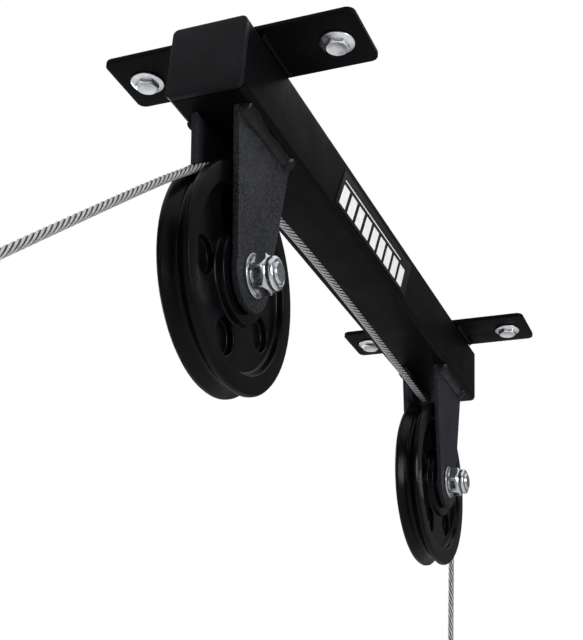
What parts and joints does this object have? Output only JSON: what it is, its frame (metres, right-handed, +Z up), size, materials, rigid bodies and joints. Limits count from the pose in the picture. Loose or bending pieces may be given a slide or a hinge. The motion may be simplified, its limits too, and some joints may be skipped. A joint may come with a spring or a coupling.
{
  "type": "ceiling mounted pulley rack",
  "caption": "Square beam under two ceiling plates with a forked sheave at each end; a wire rope runs over both and lifts a load eye when its pull eye is drawn down.",
  "frame": {"origin": "middle of the front plate's ceiling face", "axes": "+Z up into the ceiling, +X along the beam from the pull end to the load end"},
  "size_m": [0.7335, 0.17, 0.3415],
  "materials": {
    "powder_coat": "fine textured black powder coat",
    "cap_plastic": "satin moulded black plastic",
    "nylon": "satin black nylon",
    "bright_zinc": "bright zinc plate",
    "bearing_steel": "ground bearing steel",
    "cage_brass": "pressed brass",
    "wire_rope": "galvanised strands",
    "aluminium": "pressed aluminium",
    "label_vinyl": "satin printed vinyl"
  },
  "bodies": {
    "rack": {"beam_tube": "powder_coat", "cable_drop": "wire_rope", "cable_lead": "wire_rope", "cable_run": "wire_rope", "front_axle_bolt": "bright_zinc", "front_axle_sleeve": "bright_zinc", "front_bearing_left_inner_race": "bearing_steel", "front_bearing_right_inner_race": "bearing_steel", "front_ceiling_bolt_left": "bright_zinc", "front_ceiling_bolt_right": "bright_zinc", "front_end_cap": "cap_plastic", "front_fork_cheek_left": "powder_coat", "front_fork_cheek_right": "powder_coat", "front_fork_weld_left": "powder_coat", "front_fork_weld_right": "powder_coat", "front_head_washer": "bright_zinc", "front_locknut": "bright_zinc", "front_mounting_plate": "powder_coat", "front_nut_washer": "bright_zinc", "front_plate_weld_left": "powder_coat", "front_plate_weld_right": "powder_coat", "front_side_spacer_left": "bright_zinc", "front_side_spacer_right": "bright_zinc", "rear_axle_bolt": "bright_zinc", "rear_axle_sleeve": "bright_zinc", "rear_bearing_left_inner_race": "bearing_steel", "rear_bearing_right_inner_race": "bearing_steel", "rear_ceiling_bolt_left": "bright_zinc", "rear_ceiling_bolt_right": "bright_zinc", "rear_end_cap": "cap_plastic", "rear_fork_cheek_left": "powder_coat", "rear_fork_cheek_right": "powder_coat", "rear_fork_weld_left": "powder_coat", "rear_fork_weld_right": "powder_coat", "rear_head_washer": "bright_zinc", "rear_locknut": "bright_zinc", "rear_mounting_plate": "powder_coat", "rear_nut_washer": "bright_zinc", "rear_plate_weld_left": "powder_coat", "rear_plate_weld_right": "powder_coat", "rear_side_spacer_left": "bright_zinc", "rear_side_spacer_right": "bright_zinc", "side_label": "label_vinyl"},
    "front_sheave": {"front_pulley": "nylon", "front_bearing_left_outer_race": "bearing_steel", "front_bearing_left_ball_cage": "cage_brass", "front_bearing_right_outer_race": "bearing_steel", "front_bearing_right_ball_cage": "cage_brass"},
    "rear_sheave": {"rear_pulley": "nylon", "rear_bearing_left_outer_race": "bearing_steel", "rear_bearing_left_ball_cage": "cage_brass", "rear_bearing_right_outer_race": "bearing_steel", "rear_bearing_right_ball_cage": "cage_brass"},
    "pull_end": {"pull_ferrule": "aluminium", "pull_rope_eye": "wire_rope", "pull_thimble": "bright_zinc"},
    "load_end": {"load_ferrule": "aluminium", "load_rope_eye": "wire_rope", "load_thimble": "bright_zinc"}
  },
  "joints": [
    {"name": "cable_pull", "type": "slide", "parent": "rack", "child": "pull_end", "axis": [-0.7431, 0, -0.6691], "range_m": [0, 0.07], "deforming": ["cable_lead"]},
    {"name": "load_lift", "type": "slide", "parent": "rack", "child": "load_end", "axis": [0, 0, 1], "range_m": [0, 0.07], "deforming": ["cable_drop"]},
    {"name": "front_sheave_spin", "type": "hinge", "parent": "rack", "child": "front_sheave", "pos_m": [0.014, 0, -0.15], "axis": [0, 1, 0], "continuous": true},
    {"name": "rear_sheave_spin", "type": "hinge", "parent": "rack", "child": "rear_sheave", "pos_m": [0.422, 0, -0.15], "axis": [0, 1, 0], "continuous": true}
  ],
  "couplings": [
    {"joint": "load_lift", "follows": "cable_pull", "ratio": 1},
    {"joint": "front_sheave_spin", "follows": "cable_pull", "rad_per_m": -14.97},
    {"joint": "rear_sheave_spin", "follows": "cable_pull", "rad_per_m": -14.97}
  ]
}
